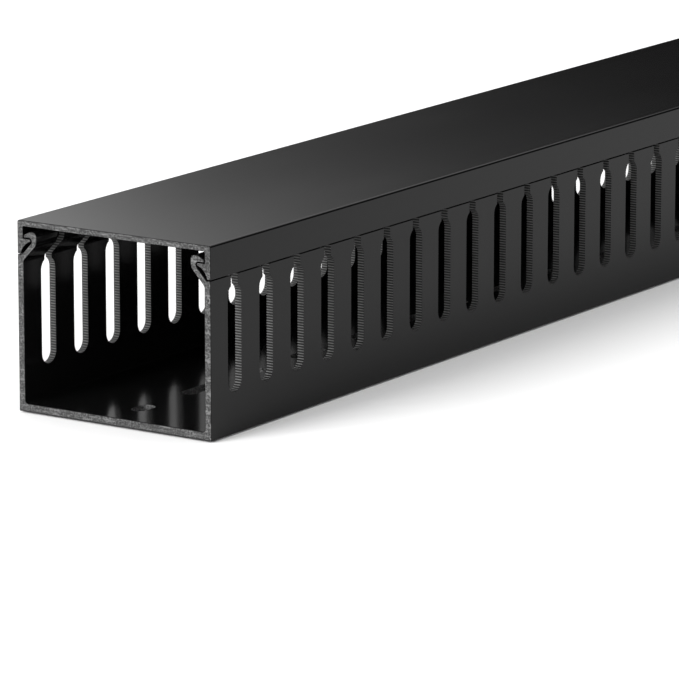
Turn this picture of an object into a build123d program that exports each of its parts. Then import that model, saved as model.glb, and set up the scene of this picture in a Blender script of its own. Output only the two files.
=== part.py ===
from build123d import *
import math
import os

# A slotted wire duct: an open-slot trough and the cover that snaps over its fingers.
# X runs across the duct, Y along it and Z up. The origin is in the middle of the underside.
# Lengths are in millimetres.

# Overall
duct_length = 400.0
duct_width = 60.0
duct_height = 50.0
edge_radius = 0.4

# Cover section: a plate, two skirts and a barb inside each skirt
plate_thickness = 1.6
skirt_thickness = 1.8
skirt_edge = 1.1
snap_depth = 3.05
barb_reach = 2.45
barb_nose = 0.75
barb_radius = 0.5
barb_depth = 4.1
barb_hollow = 0.4

# Trough section: a floor, two walls, and a leg and a hook on top of each wall
floor_thickness = 2.2
floor_corner_radius = 0.8
wall_thickness = 1.9
leg_thickness = 1.5
hook_thickness = 1.65
hook_crown = 1.73
hook_crown_radius = 1.3
hook_tip_height = 0.75
hook_tip_slope = 1.65
hook_bend = 0.55

# Gaps between the snapped cover and the trough
seam_gap = 0.25
snap_clearance = 0.2

# Side slots, narrowed by a neck that starts below the wall top and opens at the finger tips
slot_pitch = 14.0
slot_width = 6.0
slot_bottom = 10.8
neck_width = 3.0
neck_length = 2.8
shoulder_height = 1.9
shoulder_bulge = 0.3
first_slot_margin = 7.4

# Mounting holes along the middle of the floor, short and long by turns
hole_pitch = 25.0
hole_width = 4.5
short_hole_length = 7.5
long_hole_length = 14.0

# Drops below the cover's top and insets from the duct's outer side that follow from those sizes,
# and the height of the neck's lower end
barb_shelf = plate_thickness + snap_depth
barb_tip = skirt_thickness + barb_reach
cover_drop = barb_shelf + barb_depth
wall_top = cover_drop + seam_gap
hook_underside = barb_shelf - snap_clearance
hook_top = hook_underside - hook_crown
hook_tip = skirt_thickness + snap_clearance
leg_outside = barb_tip + snap_clearance
hook_inside = leg_outside + hook_thickness
neck_base = duct_height - wall_top - neck_length


def corner(inset, drop):
    """A point of the section's right half, from its inset and its drop."""
    return (duct_width / 2 - inset, duct_height - drop)


def along_duct(half):
    """A half section on the XZ plane, mirrored and run along the whole duct."""
    section = half + mirror(half, about=Plane.YZ)
    return extrude(section, amount=duct_length / 2, both=True, dir=(0, 1, 0))


def cover_half():
    """Half of the cover's section, from the middle of its plate round to the barb."""
    middle = duct_width / 2
    skirt_foot = corner(skirt_edge, cover_drop)
    nose_bottom = corner(barb_tip, barb_shelf + barb_nose)
    with BuildSketch(Plane.XZ) as section:
        with BuildLine():
            ThreePointArc(
                skirt_foot,
                corner(skirt_thickness + barb_hollow, barb_shelf + barb_depth / 2),
                nose_bottom,
            )
            FilletPolyline(
                nose_bottom,
                corner(barb_tip, barb_shelf),
                corner(skirt_thickness, barb_shelf),
                corner(skirt_thickness, plate_thickness),
                corner(middle, plate_thickness),
                corner(middle, 0),
                corner(0, 0),
                corner(0, cover_drop),
                skirt_foot,
                radius=[barb_radius, 0, 0, 0, 0, edge_radius, 0],
            )
        make_face()
    return section.sketch


def trough_half():
    """Half of the trough's section: floor, wall, the leg that leans inwards and the snap hook."""
    middle = duct_width / 2
    leg_foot = skirt_edge + snap_clearance
    leg_bend = barb_shelf + barb_nose + snap_clearance
    slope = (wall_top - leg_bend) / (leg_outside - leg_foot)
    leg_drop = leg_thickness * math.hypot(1, slope)

    def leg_inside(inset):
        """The drop of the leg's inner face at an inset."""
        return wall_top - (inset - leg_foot) * slope + leg_drop

    # The flat that clears the barb's round nose in the corner under the hook
    relief = (barb_radius + snap_clearance) * (2 - math.sqrt(2))
    outline = [
        (corner(middle, duct_height), 0),
        (corner(0, duct_height), edge_radius),
        (corner(0, wall_top), 0),
        (corner(leg_foot, wall_top), 0),
        (corner(leg_outside, leg_bend), 0),
        (corner(leg_outside, hook_underside + relief), 0),
        (corner(leg_outside - relief, hook_underside), 0),
        (corner(hook_tip, hook_underside), 0),
        (corner(hook_tip, hook_underside - hook_tip_height), 0),
        (corner(hook_tip + hook_tip_slope, hook_top), 0),
        (corner(hook_inside, hook_top), hook_crown_radius),
        (corner(hook_inside, leg_inside(hook_inside) - hook_bend), 0),
        (corner(hook_inside - hook_bend, leg_inside(hook_inside - hook_bend)), 0),
        (corner(wall_thickness, leg_inside(wall_thickness)), 0),
        (corner(wall_thickness, duct_height - floor_thickness), floor_corner_radius),
        (corner(middle, duct_height - floor_thickness), 0),
    ]
    points, radii = zip(*outline)
    with BuildSketch(Plane.XZ) as section:
        with BuildLine():
            FilletPolyline(*points, radius=radii, close=True)
        make_face()
    return section.sketch


def slot_outline():
    """One side slot: a round bottom, straight sides, and shoulders up to its narrow neck."""
    side = slot_width / 2
    neck = neck_width / 2
    round_top = slot_bottom + side
    with BuildSketch() as outline:
        with BuildLine():
            ThreePointArc((-side, round_top), (0, slot_bottom), (side, round_top))
            Polyline(
                (side, round_top),
                (side, neck_base - shoulder_height),
                (side - shoulder_bulge, neck_base - shoulder_height / 2),
                (neck, neck_base),
                (neck, duct_height),
                (-neck, duct_height),
                (-neck, neck_base),
                (shoulder_bulge - side, neck_base - shoulder_height / 2),
                (-side, neck_base - shoulder_height),
                (-side, round_top),
            )
        make_face()
    return outline.sketch


def side_slots():
    """The cutter for every side slot, through both walls."""
    slotted_length = duct_length - 2 * first_slot_margin - slot_width
    slot_count = int(slotted_length / slot_pitch) + 1
    first = -duct_length / 2 + first_slot_margin + slot_width / 2
    places = [(first + index * slot_pitch, 0) for index in range(slot_count)]
    with BuildSketch(Plane.YZ) as slots:
        with Locations(*places):
            add(slot_outline())
    return extrude(slots.sketch, amount=duct_width, both=True)


def floor_holes():
    """The cutter for the mounting holes, which lie lengthwise."""
    hole_count = int(duct_length / hole_pitch)
    first = -(hole_count - 1) * hole_pitch / 2
    with BuildSketch() as holes:
        for index in range(hole_count):
            length = long_hole_length if index % 2 else short_hole_length
            with Locations((0, first + index * hole_pitch)):
                SlotOverall(length, hole_width, rotation=90)
    return extrude(holes.sketch, amount=2 * floor_thickness, both=True)


def slotted_trough():
    """The trough: its section run along the duct, then punched."""
    return along_duct(trough_half()) - side_slots() - floor_holes()


def snap_cover():
    """The cover: its section run along the duct."""
    return along_duct(cover_half())


os.makedirs("parts", exist_ok=True)
export_step(slotted_trough(), "parts/slotted_trough.step")
export_step(snap_cover(), "parts/snap_cover.step")
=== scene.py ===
import math

import bmesh
import bpy
from bpy.props import FloatProperty, FloatVectorProperty, IntProperty, PointerProperty
from mathutils import Matrix, Vector


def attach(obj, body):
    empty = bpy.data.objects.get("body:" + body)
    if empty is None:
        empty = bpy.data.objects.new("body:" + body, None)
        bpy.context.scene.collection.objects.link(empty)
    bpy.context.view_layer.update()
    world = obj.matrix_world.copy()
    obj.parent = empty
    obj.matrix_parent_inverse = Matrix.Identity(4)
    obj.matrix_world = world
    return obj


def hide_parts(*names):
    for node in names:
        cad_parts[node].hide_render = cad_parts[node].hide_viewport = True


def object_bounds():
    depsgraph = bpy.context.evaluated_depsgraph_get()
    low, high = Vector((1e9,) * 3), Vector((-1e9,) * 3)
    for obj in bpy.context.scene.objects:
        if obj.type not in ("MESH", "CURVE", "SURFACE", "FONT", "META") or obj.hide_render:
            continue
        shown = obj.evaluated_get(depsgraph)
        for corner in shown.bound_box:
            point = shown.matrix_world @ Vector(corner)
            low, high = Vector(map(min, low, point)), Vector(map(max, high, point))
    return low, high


bl_info = {
    "name": "Slotted Wire Duct",
    "version": (1, 0, 0),
    "blender": (4, 5, 0),
    "location": "3D Viewport > Sidebar > Wire Duct",
    "description": "Builds an open-slot wire duct with a clip-on cover, its plastic and a studio",
    "category": "Add Mesh",
}

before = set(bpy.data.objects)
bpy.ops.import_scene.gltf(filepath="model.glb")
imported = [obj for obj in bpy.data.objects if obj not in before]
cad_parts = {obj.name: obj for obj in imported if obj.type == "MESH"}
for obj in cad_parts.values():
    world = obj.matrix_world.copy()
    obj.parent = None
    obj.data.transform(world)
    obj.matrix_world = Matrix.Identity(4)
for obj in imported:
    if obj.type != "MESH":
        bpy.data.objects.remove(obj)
cad_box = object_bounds()
duct_size = cad_box[1] - cad_box[0]

# The three finishes of the plastic, in the order of a piece's material slots
FINISHES = ("duct_moulded", "duct_cut", "duct_sawn")
MOULDED, CUT, SAWN = range(3)

# Points nearer than this are one point, in metres
TOUCHING = 1e-6
# How far one segment of a rounded corner turns, in degrees
CORNER_STEP = 11
# Faces that meet more sharply than this get a rounded edge
SHARP_ANGLE = math.radians(38)


def length(name, description, default):
    """A size in metres that the sidebar shows in the scene's units."""
    return FloatProperty(
        name=name, description=description, default=default, min=0.0, precision=5, unit="LENGTH"
    )


def amount(name, description, default, highest=1.0):
    """A plain number from nothing to its highest value."""
    return FloatProperty(
        name=name, description=description, default=default, min=0.0, max=highest, precision=3
    )


def colour(name, description, default):
    """A linear colour."""
    return FloatVectorProperty(
        name=name, description=description, default=default, size=3, min=0.0, max=1.0, subtype="COLOR"
    )


class DuctSection(bpy.types.PropertyGroup):
    """The section that the trough and its cover share."""

    length: length("Length", "Length of the duct", duct_size.y)
    width: length("Width", "Width over the two walls", duct_size.x)
    height: length("Height", "Height with the cover on", duct_size.z)
    plate: length("Cover plate", "Thickness of the cover's plate", 0.0016)
    skirt: length("Cover skirt", "Thickness of the cover's skirts", 0.0018)
    skirt_edge: length("Skirt edge", "Thickness of a skirt at its lower edge", 0.0011)
    snap_depth: length("Snap depth", "From the plate down to the barb", 0.00305)
    barb_reach: length("Barb reach", "How far the barb stands in from the skirt", 0.00245)
    barb_nose: length("Barb nose", "Height of the barb's blunt nose", 0.00075)
    barb_depth: length("Barb depth", "Height of the barb down to the skirt's edge", 0.0041)
    barb_nose_radius: length("Barb nose radius", "Rounding of the barb's nose at its lower end", 0.0002)
    barb_shelf_radius: length("Barb shelf radius", "Rounding of the barb's nose at its upper end", 0.0005)
    barb_root_radius: length("Barb root radius", "Rounding between the barb and the skirt", 0.00015)
    barb_hollow: length("Barb hollow", "How far the barb's back is hollowed into the skirt", 0.00005)
    barb_hollow_radius: length("Barb hollow radius", "Rounding of the barb's hollow back", 0.004)
    barb_hollow_place: amount("Barb hollow place", "Where the hollow lies, as a part of the barb", 0.385)
    plate_corner: length("Plate corner", "Rounding between the plate and the skirts, inside", 0.0003)
    seam: length("Seam", "Gap between the cover and the wall top", 0.0002)
    seam_edge: length("Seam edge", "Rounding of the two edges that meet at the seam", 0.00014)
    clearance: length("Clearance", "Gap between the barb and the hook", 0.0002)
    floor: length("Floor", "Thickness of the floor", 0.0022)
    wall: length("Wall", "Thickness of the walls", 0.0019)
    leg: length("Leg", "Thickness of the leg that leans in from the wall", 0.0015)
    hook: length("Hook", "Thickness of the hook's back", 0.00165)
    hook_crown: length("Hook crown", "Height of the hook over its underside", 0.00173)
    hook_tip: length("Hook tip", "Height of the hook's tip", 0.00075)
    hook_tip_slope: length("Hook tip slope", "How far the tip slopes back to the hook's crown", 0.0019)
    hook_tip_radius: length("Hook tip radius", "Rounding of the hook's tip", 0.0003)
    hook_seat_radius: length("Hook seat radius", "Rounding under the hook, where the barb sits", 0.0007)
    crown_front: length("Crown front", "Rounding of the hook's crown towards its tip", 0.0016)
    crown_back: length("Crown back", "Rounding of the hook's crown towards its back", 0.0013)
    hook_back: length("Hook back", "Rounding of the hook's back down to the leg", 0.0026)
    leg_bend: length("Leg bend", "Rounding of the leg's outer bend, below the hook", 0.0008)
    wall_bend: length("Wall bend", "Rounding inside, where the leg leaves the wall", 0.0012)
    floor_corner: length("Floor corner", "Rounding between the floor and the walls", 0.0008)
    edge_radius: length("Edge radius", "Rounding of the cover's two long edges", 0.0006)
    foot_radius: length("Foot radius", "Rounding of the two long edges that the duct stands on", 0.0002)
    sawn_rim: length("Sawn rim", "Rounding of the rims of the two sawn ends", 0.00015)
    burr: length("Edge softness", "Rounding of every other sharp edge", 0.00004)


class DuctOpenings(bpy.types.PropertyGroup):
    """The slots punched in the walls and the holes punched in the floor."""

    slot_count: IntProperty(
        name="Slots", description="Slots in each wall", default=28, min=1, max=200
    )
    slot_pitch: length("Slot pitch", "From one slot to the next", 0.014)
    slot_width: length("Slot width", "Width of a slot", 0.006)
    slot_bottom: length("Slot bottom", "Height of a slot's lower end", 0.0108)
    neck_width: length("Neck width", "Width of the neck that a slot opens through", 0.003)
    neck_length: length("Neck length", "How far the neck starts below the wall top", 0.0028)
    first_slot: length("First slot", "From the duct's end to the first slot's edge", 0.0074)
    ridge_spacing: length("Ridge spacing", "From one punch ridge to the next round a slot", 0.0007)
    ridge_depth: length("Ridge depth", "Depth of the grooves between the punch ridges", 0.0001)
    hole_count: IntProperty(
        name="Holes", description="Mounting holes along the floor", default=16, min=1, max=200
    )
    hole_pitch: length("Hole pitch", "From one mounting hole to the next", 0.025)
    hole_width: length("Hole width", "Width of a mounting hole", 0.0045)
    short_hole: length("Short hole", "Length of the short mounting holes", 0.0075)
    long_hole: length("Long hole", "Length of the long mounting holes", 0.014)


class DuctFinish(bpy.types.PropertyGroup):
    """The colours and the surface of the black plastic."""

    plastic: colour("Plastic", "Colour of the extruded faces", (0.0038, 0.0038, 0.0039))
    # Painted shade and highlight: the grooves of the punched edges are darker than the plastic, and the
    # crests are pale, partly the cut's own tone and partly painted highlight
    punched_groove_shade: colour("Punched, dark", "Painted shade in the grooves of the punched edges", (0.002, 0.002, 0.002))
    punched_crest_tone_and_highlight: colour("Punched, light", "Ridges of the punched edges: the cut's own pale tone with painted highlight", (0.12, 0.12, 0.119))
    sawn_dark: colour("Sawn, dark", "Base of the sawn ends", (0.013, 0.013, 0.013))
    sawn_light: colour("Sawn, light", "Bruised specks of the sawn ends", (0.15, 0.15, 0.15))
    # Painted shade: below this height the sawn ends keep their dark base without specks, a dark line along
    # the foot
    painted_foot_shade: length("Painted foot shade", "Height of the painted shade along the foot of the sawn ends", 0.00035)
    sheen: amount("Roughness", "Roughness of the extruded faces", 0.12)
    sheen_spread: amount("Roughness spread", "How far the roughness varies either way", 0.015)
    shine: amount("Shine", "Strength of the plastic's reflections", 0.12)
    clouding: amount("Clouding", "How far the colour varies either way, as a part of it", 0.1)
    cut_roughness: amount("Cut roughness", "Roughness of punched and sawn faces", 0.62)
    line_depth: length("Line depth", "Depth of the lines that extrusion leaves", 0.000004)
    saw_depth: length("Saw depth", "Depth of the marks on the sawn ends", 0.00007)


class DuctStudio(bpy.types.PropertyGroup):
    """The floor, the lamp, the graded tent and the camera."""

    floor_colour: colour("Floor", "Colour of the floor", (0.9, 0.9, 0.9))
    floor_drop: length("Floor drop", "Gap under the duct, which shows as a dark line", 0.0004)
    floor_radius: length("Floor radius", "Radius of the round floor", 9.0)
    fill: amount("Fill", "Strength of the white world", 1.0)
    tent_radius: length("Tent radius", "Radius of the graded tent", 1.15)
    tent_rise: amount("Tent rise", "How fast the tent brightens with height, per metre", 16.2, 50.0)
    tent_turn: amount("Tent turn", "How fast the tent brightens towards the left, per radian", 7.2, 50.0)
    tent_level: FloatProperty(
        name="Tent level", description="Logarithm of the tent's brightness straight behind", default=-11.05
    )
    tent_lamp: amount("Tent lamp", "How much brighter the tent's left side is", 1.6, 10.0)
    tent_front: amount("Tent front", "Brightness of the tent in front of the duct", 0.35)
    tent_back: amount("Tent back", "Least brightness of the tent behind the duct", 0.01)
    key_power: amount("Key lamp", "Power of the lamp in front on the left, in watts", 355.0, 1000.0)
    key_size: length("Key lamp size", "Side of the square lamp", 2.46)
    key_place: FloatVectorProperty(
        name="Key lamp place", description="Where the lamp hangs", size=3, default=(-1.61, -4.91, 2.2),
        subtype="XYZ", unit="LENGTH",
    )
    azimuth: FloatProperty(
        name="Azimuth", description="Turn of the camera round the duct", default=math.radians(33.568),
        subtype="ANGLE",
    )
    elevation: FloatProperty(
        name="Elevation", description="Height of the camera as an angle", default=math.radians(12.794),
        subtype="ANGLE",
    )
    distance: length("Distance", "From the camera to its target", 1.3031)
    lens: FloatProperty(name="Lens", description="Focal length in millimetres", default=272.63)
    target: FloatVectorProperty(
        name="Target", description="The point that the camera faces", size=3,
        default=(0.04458, -0.16404, 0.02193), subtype="XYZ", unit="LENGTH",
    )


# Shapes


def everything(mesh):
    """All the points, edges and faces of a mesh."""
    return mesh.verts[:] + mesh.edges[:] + mesh.faces[:]


def points_of(items):
    """The points among the items that an operator gives back."""
    return [item for item in items if isinstance(item, bmesh.types.BMVert)]


def widen(mesh, way):
    """Turns a flat outline into a solid."""
    faces = bmesh.ops.extrude_face_region(mesh, geom=mesh.faces[:], use_keep_orig=True)
    bmesh.ops.translate(mesh, verts=points_of(faces["geom"]), vec=way)


def corner_point(section, inset, drop):
    """A point of the right half, from its inset and its drop below the cover's top."""
    return Vector((section.width / 2 - inset, 0, section.height - drop))


def half_profile(mesh, section, outline):
    """A flat half section on the XZ plane. Each item of the outline is inset, drop and radius."""
    points = [mesh.verts.new(corner_point(section, inset, drop)) for inset, drop, radius in outline]
    for first, second in zip(points, points[1:] + points[:1]):
        mesh.edges.new((first, second))
    bmesh.ops.contextual_create(mesh, geom=mesh.edges[:])
    for point, (inset, drop, radius) in zip(points, outline):
        if radius:
            round_corner(mesh, point, radius)


def round_corner(mesh, point, radius):
    """Rounds one corner of a flat outline with an arc that is tangent to both its sides."""
    one, other = [edge.other_vert(point).co - point.co for edge in point.link_edges]
    opening = one.angle(other)
    turn = math.pi - opening
    bmesh.ops.bevel(
        mesh,
        geom=[point],
        offset=radius / math.tan(opening / 2),
        segments=max(2, round(math.degrees(turn) / CORNER_STEP)),
        profile=0.5,
        affect="VERTICES",
        material=-1,
        clamp_overlap=True,
    )


def run_along(mesh, section):
    """Runs the half section along the duct, mirrors it and marks its two ends as sawn."""
    half = section.length / 2
    bmesh.ops.translate(mesh, verts=mesh.verts, vec=(0, -half, 0))
    widen(mesh, (0, section.length, 0))
    middle = [face for face in mesh.faces if all(abs(vert.co.x) < TOUCHING for vert in face.verts)]
    bmesh.ops.delete(mesh, geom=middle, context="FACES_ONLY")
    bmesh.ops.mirror(mesh, geom=everything(mesh), axis="X", merge_dist=TOUCHING)
    bmesh.ops.recalc_face_normals(mesh, faces=mesh.faces)
    mesh.normal_update()
    for face in mesh.faces:
        face.smooth = True
        faces_along_duct = abs(face.normal.y) > 0.9
        if faces_along_duct:
            face.material_index = SAWN


def finished_mesh(mesh, name):
    """A new object that holds the mesh, at the origin."""
    data = bpy.data.meshes.new(name)
    mesh.to_mesh(data)
    mesh.free()
    piece = bpy.data.objects.new(name, data)
    bpy.context.scene.collection.objects.link(piece)
    return piece


def punch(piece, cutter):
    """Cuts one cutter out of a piece, and takes the cutter away."""
    dress(cutter)
    cut = piece.modifiers.new("punch", "BOOLEAN")
    cut.operation = "DIFFERENCE"
    cut.solver = "EXACT"
    cut.object = cutter
    state = bpy.context.evaluated_depsgraph_get()
    punched = bpy.data.meshes.new_from_object(piece.evaluated_get(state))
    piece.modifiers.clear()
    old = piece.data
    piece.data = punched
    bpy.data.meshes.remove(old)
    bpy.data.objects.remove(cutter)


def mark_rims(piece, section):
    """Gives the rims of the two sawn ends a bevel weight."""
    mesh = bmesh.new()
    mesh.from_mesh(piece.data)
    weight = mesh.edges.layers.float.new("bevel_weight_edge")
    for edge in mesh.edges:
        reaches = [abs(face.calc_center_median().y) for face in edge.link_faces]
        ends = [reach for reach in reaches if reach > section.length / 2 - TOUCHING]
        edge[weight] = float(len(ends) == 1)
    mesh.to_mesh(piece.data)
    mesh.free()


def soften_edges(piece, section):
    """Rounds the sawn ends' rims and every other sharp edge, and keeps the sheen of flat faces even."""
    mark_rims(piece, section)
    rims = piece.modifiers.new("rims", "BEVEL")
    rims.width = section.sawn_rim
    rims.segments = 2
    rims.limit_method = "WEIGHT"
    rims.material = MOULDED
    rims.use_clamp_overlap = False
    bevel = piece.modifiers.new("edges", "BEVEL")
    bevel.width = section.burr
    bevel.segments = 2
    bevel.limit_method = "ANGLE"
    bevel.angle_limit = SHARP_ANGLE
    bevel.harden_normals = True
    bevel.use_clamp_overlap = True
    normals = piece.modifiers.new("flat_faces", "WEIGHTED_NORMAL")
    normals.keep_sharp = True


def slot_heights(section, openings):
    """The heights where a slot's straight sides start and end, and where its neck starts."""
    side, neck = openings.slot_width / 2, openings.neck_width / 2
    wall_top = section.height - section.plate - section.snap_depth - section.barb_depth - section.seam
    neck_base = wall_top - openings.neck_length
    return openings.slot_bottom + side, neck_base - math.sqrt(side**2 - neck**2), neck_base


def ridged_side(section, openings):
    """Points up one side of a slot and its neck, by turns on a ridge and in a groove of the punching."""
    side, neck = openings.slot_width / 2, openings.neck_width / 2
    low, high, neck_base = slot_heights(section, openings)
    straight = high - low
    shoulder = side * math.acos(neck / side)
    step = openings.ridge_spacing / 2
    steps_down = math.floor(side * math.pi / 2 / step)
    steps_up = math.floor((straight + shoulder + openings.neck_length) / step)
    points = []
    for index in range(-steps_down, steps_up):
        along = (index + 0.5) * step
        groove = openings.ridge_depth * (index % 2 - 0.5)
        if along > straight + shoulder:
            points.append((0, neck + groove, neck_base + along - straight - shoulder))
            continue
        turn = (min(along, 0) + max(along - straight, 0)) / side
        centre = low + min(max(along, 0), straight)
        points.append((0, (side + groove) * math.cos(turn), centre + (side + groove) * math.sin(turn)))
    return points


def slot_cutter(section, openings):
    """Every slot of both walls as one cutter: round ends, and a neck that opens at the finger tips."""
    side = openings.slot_width / 2
    mesh = bmesh.new()
    outline = [(0, 0, openings.slot_bottom), *ridged_side(section, openings)]
    outline.append((0, openings.neck_width / 2, section.height))
    chain = [mesh.verts.new(point) for point in outline]
    for lower, upper in zip(chain, chain[1:]):
        mesh.edges.new((lower, upper))
    bmesh.ops.mirror(mesh, geom=mesh.verts[:] + mesh.edges[:], axis="Y", merge_dist=TOUCHING)
    ends = [vert for vert in mesh.verts if len(vert.link_edges) == 1]
    mesh.edges.new(ends)
    bmesh.ops.contextual_create(mesh, geom=mesh.edges[:])
    reach = section.width
    bmesh.ops.translate(mesh, verts=mesh.verts, vec=(-reach, 0, 0))
    widen(mesh, (2 * reach, 0, 0))
    first = openings.first_slot + side - section.length / 2
    repeat(mesh, [first + index * openings.slot_pitch for index in range(openings.slot_count)])
    return cutter_object(mesh, "slot_cutter", CUT)


def repeat(mesh, places):
    """Copies a cutter to each place along the duct, and removes the first one."""
    first = everything(mesh)
    for place in places:
        copy = bmesh.ops.duplicate(mesh, geom=first)
        bmesh.ops.translate(mesh, verts=points_of(copy["geom"]), vec=(0, place, 0))
    bmesh.ops.delete(mesh, geom=points_of(first), context="VERTS")


def cutter_object(mesh, name, finish):
    """The cutter as an object whose faces leave that finish on what they cut."""
    bmesh.ops.recalc_face_normals(mesh, faces=mesh.faces)
    for face in mesh.faces:
        face.material_index = finish
        face.smooth = True
    return finished_mesh(mesh, name)


def hole_cutter(section, openings):
    """Every mounting hole of the floor as one cutter."""
    mesh = bmesh.new()
    half = openings.hole_width / 2
    first = -(openings.hole_count - 1) * openings.hole_pitch / 2
    for index in range(openings.hole_count):
        reach = (openings.long_hole if index % 2 else openings.short_hole) / 2 - half
        middle = first + index * openings.hole_pitch
        ring = bmesh.ops.create_circle(
            mesh, cap_ends=True, segments=32, radius=half,
            matrix=Matrix.Translation((0, middle, -section.floor)),
        )
        for vert in ring["verts"]:
            side = 1 if vert.co.y > middle else -1
            vert.co.y += side * reach
    widen(mesh, (0, 0, 3 * section.floor))
    return cutter_object(mesh, "hole_cutter", SAWN)


def trough_outline(section):
    """The right half of the trough's section: floor, wall, leaning leg and snap hook."""
    barb_shelf = section.plate + section.snap_depth
    wall_top = barb_shelf + section.barb_depth + section.seam
    underside = barb_shelf - section.clearance
    tip = section.skirt + section.clearance
    leg_outside = section.skirt + section.barb_reach + section.clearance
    leg_bend = barb_shelf + section.barb_nose + section.clearance
    leg_foot = section.skirt_edge + section.clearance
    slope = (wall_top - leg_bend) / (leg_outside - leg_foot)
    leg_drop = section.leg * math.hypot(1, slope)
    inside = leg_outside + section.hook
    bend_drop = wall_top - (inside - leg_foot) * slope + leg_drop
    foot_drop = wall_top - (section.wall - leg_foot) * slope + leg_drop
    floor_drop = section.height - section.floor
    middle = section.width / 2
    return [
        (middle, section.height, 0),
        (0, section.height, section.foot_radius),
        (0, wall_top, section.seam_edge),
        (leg_foot, wall_top, 0),
        (leg_outside, leg_bend, section.leg_bend),
        (leg_outside, underside, section.hook_seat_radius),
        (tip, underside, 0),
        (tip, underside - section.hook_tip, section.hook_tip_radius),
        (tip + section.hook_tip_slope, underside - section.hook_crown, section.crown_front),
        (inside, underside - section.hook_crown, section.crown_back),
        (inside, bend_drop, section.hook_back),
        (section.wall, foot_drop, section.wall_bend),
        (section.wall, floor_drop, section.floor_corner),
        (middle, floor_drop, 0),
    ]


def cover_outline(section):
    """The right half of the cover's section: plate, skirt and barb."""
    barb_shelf = section.plate + section.snap_depth
    drop = barb_shelf + section.barb_depth
    tip = section.skirt + section.barb_reach
    hollow_drop = barb_shelf + section.barb_depth * section.barb_hollow_place
    middle = section.width / 2
    return [
        (middle, 0, 0),
        (0, 0, section.edge_radius),
        (0, drop, section.seam_edge),
        (section.skirt_edge, drop, 0),
        (section.skirt - section.barb_hollow, hollow_drop, section.barb_hollow_radius),
        (tip, barb_shelf + section.barb_nose, section.barb_nose_radius),
        (tip, barb_shelf, section.barb_shelf_radius),
        (section.skirt, barb_shelf, section.barb_root_radius),
        (section.skirt, section.plate, section.plate_corner),
        (middle, section.plate, 0),
    ]


# Materials


def put(tree, kind, values=(), **settings):
    """A new node, with its settings and with values or links for its inputs."""
    made = tree.nodes.new(kind)
    for name, value in settings.items():
        setattr(made, name, value)
    for key, value in dict(values).items():
        if isinstance(value, bpy.types.NodeSocket):
            tree.links.new(value, made.inputs[key])
        else:
            made.inputs[key].default_value = value
    return made


def maths(tree, operation, first, second=0.0, third=0.0):
    """The result of one Math node."""
    made = put(tree, "ShaderNodeMath", {0: first, 1: second, 2: third}, operation=operation)
    return made.outputs[0]


def new_group(name, numbers, outputs):
    """A shader node group with number inputs and named outputs, and its two end nodes."""
    tree = bpy.data.node_groups.new(name, "ShaderNodeTree")
    for label, default in numbers.items():
        socket = tree.interface.new_socket(label, in_out="INPUT", socket_type="NodeSocketFloat")
        socket.default_value = default
    for label in outputs:
        tree.interface.new_socket(label, in_out="OUTPUT", socket_type="NodeSocketFloat")
    start = tree.nodes.new("NodeGroupInput")
    end = tree.nodes.new("NodeGroupOutput")
    return tree, start, end


def stretched_noise(tree, scale, detail=3.0, roughness=0.6, stretch=(1, 1, 1), turn=(0, 0, 0)):
    """Noise on the piece's own coordinates, stretched per axis and then turned."""
    place = put(tree, "ShaderNodeTexCoord")
    mapped = put(
        tree, "ShaderNodeMapping",
        {"Vector": place.outputs["Object"], "Rotation": turn, "Scale": stretch},
    )
    noise = put(
        tree, "ShaderNodeTexNoise",
        {"Vector": mapped.outputs["Vector"], "Scale": scale, "Detail": detail, "Roughness": roughness},
    )
    return noise.outputs["Fac"]


def own_axes(tree):
    """The piece's own coordinates, one output for each axis."""
    place = put(tree, "ShaderNodeTexCoord")
    return put(tree, "ShaderNodeSeparateXYZ", {"Vector": place.outputs["Object"]}).outputs


def eased(tree, value, low, high, bottom=0.0, top=1.0):
    """A value moved from one range to another and held inside it."""
    made = put(
        tree, "ShaderNodeMapRange",
        {"Value": value, "From Min": low, "From Max": high, "To Min": bottom, "To Max": top},
        interpolation_type="SMOOTHSTEP",
    )
    return made.outputs["Result"]


def extrusion_lines():
    """Faint lines along the duct, and slow clouds in the sheen, that extrusion leaves."""
    tree, start, end = new_group(
        "Extrusion lines", {"Line scale": 900.0, "Cloud scale": 14.0}, ("Height", "Cloud")
    )
    lines = stretched_noise(tree, start.outputs["Line scale"], detail=2.0, stretch=(1.0, 0.012, 1.0))
    clouds = stretched_noise(tree, start.outputs["Cloud scale"], detail=4.0, stretch=(1.0, 0.35, 1.0))
    tree.links.new(lines, end.inputs["Height"])
    tree.links.new(eased(tree, clouds, low=0.3, high=0.7), end.inputs["Cloud"])
    return tree


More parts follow.
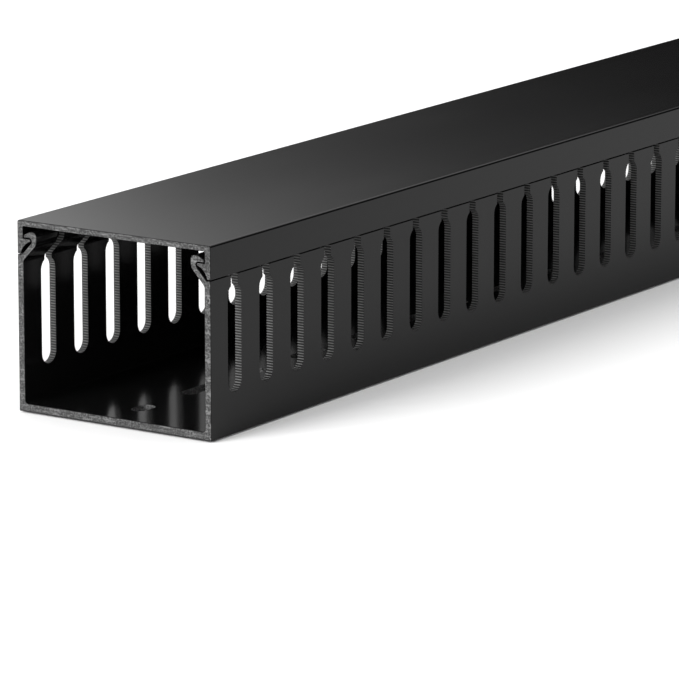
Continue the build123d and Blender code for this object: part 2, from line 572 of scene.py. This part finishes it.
def punch_ridges(section, openings):
    """A mask of the punch ridges, which are evenly spaced along a slot's outline. It carries painted
    highlight onto the crests and painted shade into the grooves.
    """
    tree, start, end = new_group("Punch ridges", {"Wear scale": 900.0}, ("Crest",))
    axes = own_axes(tree)
    side = openings.slot_width / 2
    low, high, neck_base = slot_heights(section, openings)
    first = openings.first_slot + side - section.length / 2
    pitch = openings.slot_pitch

    def height_above(level):
        """The height over a level of the slot, or nothing below it."""
        return maths(tree, "MAXIMUM", maths(tree, "SUBTRACT", axes["Z"], level), 0.0)

    # The distance from a slot's middle line, in every slot alike
    across = maths(tree, "WRAP", axes["Y"], first + pitch / 2, first - pitch / 2)
    across = maths(tree, "ABSOLUTE", maths(tree, "SUBTRACT", across, first))
    # The way along the outline: back round the bottom, then up the side, the shoulder and the neck
    below = maths(tree, "MAXIMUM", maths(tree, "SUBTRACT", low, axes["Z"]), 0.0)
    bottom = maths(tree, "MULTIPLY", maths(tree, "ARCTAN2", below, across), side)
    straight = maths(tree, "MINIMUM", height_above(low), high - low)
    slant = maths(tree, "DIVIDE", maths(tree, "MINIMUM", height_above(high), neck_base - high), side)
    shoulder = maths(tree, "MULTIPLY", maths(tree, "ARCSINE", slant), side)
    upper = maths(tree, "ADD", shoulder, height_above(neck_base))
    along = maths(tree, "ADD", maths(tree, "SUBTRACT", straight, bottom), upper)
    # One wave for each ridge
    steps = maths(tree, "DIVIDE", along, openings.ridge_spacing)
    wave = maths(tree, "SINE", maths(tree, "MULTIPLY", steps, 2 * math.pi))
    crest = eased(tree, wave, low=0.0, high=0.8)
    wear = stretched_noise(tree, start.outputs["Wear scale"], detail=2.0)
    worn = eased(tree, wear, low=0.3, high=0.6, bottom=0.7)
    tree.links.new(maths(tree, "MULTIPLY", crest, worn), end.inputs["Crest"])
    return tree


def saw_marks_and_foot_shade():
    """Slanting scratches and bruised specks where a saw has passed. Below a ragged line at the foot the
    specks are left out, so the dark base shows there as painted shade.
    """
    numbers = {
        "Speck scale": 1900.0, "Scratch scale": 1500.0, "Patch scale": 300.0,
        "Painted shade height": 0.0, "Painted shade raggedness": 0.0002,
    }
    tree, start, end = new_group("Saw marks and painted foot shade", numbers, ("Height", "Speck"))
    specks = stretched_noise(tree, start.outputs["Speck scale"], detail=4.0)
    scratches = stretched_noise(
        tree, start.outputs["Scratch scale"],
        roughness=0.5, stretch=(0.16, 1, 1), turn=(0, math.radians(28), 0),
    )
    tree.links.new(maths(tree, "ADD", specks, scratches), end.inputs["Height"])
    patches = stretched_noise(tree, start.outputs["Patch scale"], detail=2.0)
    bright_specks = eased(tree, specks, low=0.4, high=0.68)
    bright_scratches = eased(tree, scratches, low=0.52, high=0.72)
    bruises = maths(tree, "MINIMUM", maths(tree, "ADD", bright_specks, bright_scratches), 1.0)
    bruises = maths(tree, "MULTIPLY", bruises, eased(tree, patches, low=0.3, high=0.65, bottom=0.45))
    # Painted shade: the specks stop at a ragged line just above the foot, so the lowest strip stays dark
    uneven = maths(tree, "SUBTRACT", specks, 0.5)
    height = maths(
        tree, "MULTIPLY_ADD", uneven, start.outputs["Painted shade raggedness"], own_axes(tree)["Z"]
    )
    above_painted_shade = maths(tree, "GREATER_THAN", height, start.outputs["Painted shade height"])
    tree.links.new(maths(tree, "MULTIPLY", bruises, above_painted_shade), end.inputs["Speck"])
    return tree


def new_material(name, roughness):
    """A material, the tree that holds its nodes, and its Principled shader."""
    material = bpy.data.materials.new(name)
    material.use_nodes = True
    tree = material.node_tree
    shader = tree.nodes["Principled BSDF"]
    shader.inputs["Roughness"].default_value = roughness
    return material, tree, shader


def grouped(tree, group, values=()):
    """A node group placed in a material with its own values."""
    made = tree.nodes.new("ShaderNodeGroup")
    made.node_tree = group
    for name, value in dict(values).items():
        made.inputs[name].default_value = value
    return made


def bumped(tree, shader, height, depth):
    """Feeds a height to the shader's normal, at its real depth in metres."""
    bump = put(tree, "ShaderNodeBump", {"Height": height, "Distance": depth, "Strength": 1.0})
    tree.links.new(bump.outputs["Normal"], shader.inputs["Normal"])


def mixed_colour(tree, shader, mask, low, high):
    """Mixes two colours by a mask into the shader's colour."""
    # The places of a Mix node's factor and colour sockets
    factor, first_colour, second_colour, mixed = 0, 6, 7, 2
    mix = put(
        tree, "ShaderNodeMix", {factor: mask, first_colour: (*low, 1), second_colour: (*high, 1)},
        data_type="RGBA",
    )
    tree.links.new(mix.outputs[mixed], shader.inputs["Base Color"])


def duct_materials(section, openings, finish):
    """The three faces of the black plastic: extruded, punched and sawn."""
    _, tree, shader = new_material(FINISHES[MOULDED], finish.sheen)
    shader.inputs["Specular IOR Level"].default_value = finish.shine
    extruded = grouped(tree, extrusion_lines())
    cloud = extruded.outputs["Cloud"]
    darker = [value * (1 - finish.clouding) for value in finish.plastic]
    lighter = [value * (1 + finish.clouding) for value in finish.plastic]
    mixed_colour(tree, shader, cloud, darker, lighter)
    sharpest, softest = finish.sheen - finish.sheen_spread, finish.sheen + finish.sheen_spread
    rough = eased(tree, cloud, low=0, high=1, bottom=sharpest, top=softest)
    tree.links.new(rough, shader.inputs["Roughness"])
    bumped(tree, shader, extruded.outputs["Height"], finish.line_depth)

    _, tree, shader = new_material(FINISHES[CUT], finish.cut_roughness)
    cut = grouped(tree, punch_ridges(section, openings))
    # The crests take the pale colour, partly the cut's own tone and partly painted highlight, and the
    # grooves the dark one as painted shade
    mixed_colour(tree, shader, cut.outputs["Crest"], finish.punched_groove_shade, finish.punched_crest_tone_and_highlight)

    _, tree, shader = new_material(FINISHES[SAWN], finish.cut_roughness)
    # Painted shade along the foot of the sawn ends, up to this height
    sawn = grouped(tree, saw_marks_and_foot_shade(), {"Painted shade height": finish.painted_foot_shade})
    mixed_colour(tree, shader, sawn.outputs["Speck"], finish.sawn_dark, finish.sawn_light)
    bumped(tree, shader, sawn.outputs["Height"], finish.saw_depth)


def dress(piece):
    """Gives a piece the extruded, punched and sawn finishes, in that order."""
    for name in FINISHES:
        piece.data.materials.append(bpy.data.materials[name])


# Operators


class WIREDUCT_OT_finishes(bpy.types.Operator):
    """Make the duct's black plastic: its extruded, punched and sawn faces"""

    bl_idname = "wireduct.finishes"
    bl_label = "Make the plastic"

    def execute(self, context):
        scene = context.scene
        duct_materials(scene.duct_section, scene.duct_openings, scene.duct_finish)
        return {"FINISHED"}


class WIREDUCT_OT_trough(bpy.types.Operator):
    """Build the slotted trough with its snap hooks and mounting holes"""

    bl_idname = "wireduct.trough"
    bl_label = "Build the trough"

    def execute(self, context):
        section, openings = context.scene.duct_section, context.scene.duct_openings
        mesh = bmesh.new()
        half_profile(mesh, section, trough_outline(section))
        run_along(mesh, section)
        trough = finished_mesh(mesh, "trough")
        dress(trough)
        punch(trough, slot_cutter(section, openings))
        punch(trough, hole_cutter(section, openings))
        soften_edges(trough, section)
        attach(trough, "trough")
        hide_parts("slotted_trough")
        return {"FINISHED"}


class WIREDUCT_OT_cover(bpy.types.Operator):
    """Build the clip-on cover with its two barbed skirts"""

    bl_idname = "wireduct.cover"
    bl_label = "Build the cover"

    def execute(self, context):
        section = context.scene.duct_section
        mesh = bmesh.new()
        half_profile(mesh, section, cover_outline(section))
        run_along(mesh, section)
        cover = finished_mesh(mesh, "cover")
        dress(cover)
        soften_edges(cover, section)
        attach(cover, "cover")
        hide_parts("snap_cover")
        return {"FINISHED"}


def white_world(studio):
    """The white background, which is also the soft light from every side."""
    world = bpy.data.worlds.new("studio")
    world.use_nodes = True
    background = world.node_tree.nodes["Background"]
    background.inputs["Color"].default_value = (1, 1, 1, 1)
    background.inputs["Strength"].default_value = studio.fill
    bpy.context.scene.world = world


def studio_floor(studio):
    """A pale round floor that keeps the duct's shadow."""
    mesh = bmesh.new()
    under = Matrix.Translation((0, 0, -studio.floor_drop))
    bmesh.ops.create_circle(mesh, cap_ends=True, segments=96, radius=studio.floor_radius, matrix=under)
    floor = finished_mesh(mesh, "floor")
    material, tree, shader = new_material("studio_floor", roughness=0.9)
    shader.inputs["Base Color"].default_value = (*studio.floor_colour, 1)
    shader.inputs["Specular IOR Level"].default_value = 0.0
    floor.data.materials.append(material)


def graded_tent(studio):
    """A round tent, bright on the left behind the duct. Only the sheen of the plastic sees it."""
    mesh = bmesh.new()
    bmesh.ops.create_uvsphere(mesh, u_segments=72, v_segments=36, radius=studio.tent_radius)
    # Its lower half is cut off a millimetre above the duct's foot
    bmesh.ops.bisect_plane(
        mesh, geom=everything(mesh), plane_co=(0, 0, 0.001), plane_no=(0, 0, 1), clear_inner=True
    )
    tent = finished_mesh(mesh, "tent")
    material, tree, shader = new_material("tent_cloth", roughness=1.0)
    shader.inputs["Base Color"].default_value = (0, 0, 0, 1)
    shader.inputs["Specular IOR Level"].default_value = 0.0
    shader.inputs["Emission Color"].default_value = (1, 1, 1, 1)
    tree.links.new(tent_glow(tree, studio), shader.inputs["Emission Strength"])
    tent.data.materials.append(material)
    tent.visible_camera = False
    tent.visible_diffuse = False
    tent.visible_shadow = False
    tent.visible_transmission = False


def tent_glow(tree, studio):
    """The tent's brightness: it rises with height and towards the left, and is even in front."""
    axes = own_axes(tree)
    left = maths(tree, "MULTIPLY", axes["X"], -1.0)
    angle = maths(tree, "ARCTAN2", left, axes["Y"])
    turn = maths(tree, "MULTIPLY", angle, studio.tent_turn)
    rise = maths(tree, "MULTIPLY_ADD", axes["Z"], studio.tent_rise, studio.tent_level)
    behind = maths(tree, "EXPONENT", maths(tree, "ADD", turn, rise))
    # The lamp's side begins between these two angles to the left of straight behind
    lamp_start, lamp_full = math.radians(39), math.radians(46)
    lamp_side = eased(tree, angle, low=lamp_start, high=lamp_full, bottom=1.0, top=studio.tent_lamp)
    behind = maths(tree, "MULTIPLY", behind, lamp_side)
    # The front brightens between these two places along the duct
    front_start, front_full = 0.1, -0.8
    front = eased(
        tree, axes["Y"], low=front_start, high=front_full, bottom=studio.tent_back, top=studio.tent_front
    )
    return maths(tree, "MINIMUM", maths(tree, "MAXIMUM", behind, front), 1.0)


def soft_lamp(name, place, size, power):
    """A square lamp that faces the duct and adds no highlight."""
    data = bpy.data.lights.new(name, "AREA")
    data.size = size
    data.energy = power
    lamp = bpy.data.objects.new(name, data)
    lamp.location = place
    lamp.rotation_mode = "QUATERNION"
    lamp.rotation_quaternion = (-Vector(place)).to_track_quat("-Z", "Y")
    lamp.visible_camera = False
    lamp.visible_glossy = False
    bpy.context.scene.collection.objects.link(lamp)


def photo_camera(studio):
    """The camera, turned and raised round its target."""
    turn, rise = studio.azimuth, studio.elevation
    back = Vector((math.sin(turn) * math.cos(rise), -math.cos(turn) * math.cos(rise), math.sin(rise)))
    data = bpy.data.cameras.new("photo_camera")
    data.lens = studio.lens
    data.sensor_width = 36
    data.sensor_fit = "HORIZONTAL"
    data.clip_end = 50
    camera = bpy.data.objects.new("photo_camera", data)
    camera.location = Vector(studio.target) + back * studio.distance
    camera.rotation_mode = "QUATERNION"
    camera.rotation_quaternion = (-back).to_track_quat("-Z", "Y")
    bpy.context.scene.collection.objects.link(camera)
    bpy.context.scene.camera = camera


class WIREDUCT_OT_studio(bpy.types.Operator):
    """Set up the pale floor, the soft lamp, the graded tent and the camera"""

    bl_idname = "wireduct.studio"
    bl_label = "Set up the studio"

    def execute(self, context):
        studio = context.scene.duct_studio
        context.scene.view_settings.view_transform = "Standard"
        white_world(studio)
        studio_floor(studio)
        graded_tent(studio)
        soft_lamp("key_lamp", studio.key_place, studio.key_size, studio.key_power)
        photo_camera(studio)
        return {"FINISHED"}


class WIREDUCT_PT_sidebar(bpy.types.Panel):
    """The wire duct's sizes, finishes and operators"""

    bl_idname = "WIREDUCT_PT_sidebar"
    bl_label = "Wire Duct"
    bl_space_type = "VIEW_3D"
    bl_region_type = "UI"
    bl_category = "Wire Duct"

    def draw(self, context):
        scene = context.scene
        for group in (scene.duct_section, scene.duct_openings, scene.duct_finish, scene.duct_studio):
            box = self.layout.box()
            box.label(text=group.bl_rna.description)
            for name in group.__annotations__:
                box.prop(group, name)
        for operator in OPERATORS:
            self.layout.operator(operator.bl_idname)


GROUPS = {
    "duct_section": DuctSection,
    "duct_openings": DuctOpenings,
    "duct_finish": DuctFinish,
    "duct_studio": DuctStudio,
}
OPERATORS = (WIREDUCT_OT_finishes, WIREDUCT_OT_trough, WIREDUCT_OT_cover, WIREDUCT_OT_studio)


def register():
    """Registers the settings, the operators and the panel."""
    for name, group in GROUPS.items():
        bpy.utils.register_class(group)
        setattr(bpy.types.Scene, name, PointerProperty(type=group))
    for operator in OPERATORS:
        bpy.utils.register_class(operator)
    bpy.utils.register_class(WIREDUCT_PT_sidebar)


def unregister():
    """Takes the panel, the operators and the settings away again."""
    bpy.utils.unregister_class(WIREDUCT_PT_sidebar)
    for operator in reversed(OPERATORS):
        bpy.utils.unregister_class(operator)
    for name, group in GROUPS.items():
        delattr(bpy.types.Scene, name)
        bpy.utils.unregister_class(group)


def main():
    register()
    bpy.ops.wireduct.finishes()
    bpy.ops.wireduct.trough()
    bpy.ops.wireduct.cover()
    bpy.ops.wireduct.studio()


if __name__ == "__main__":
    main()
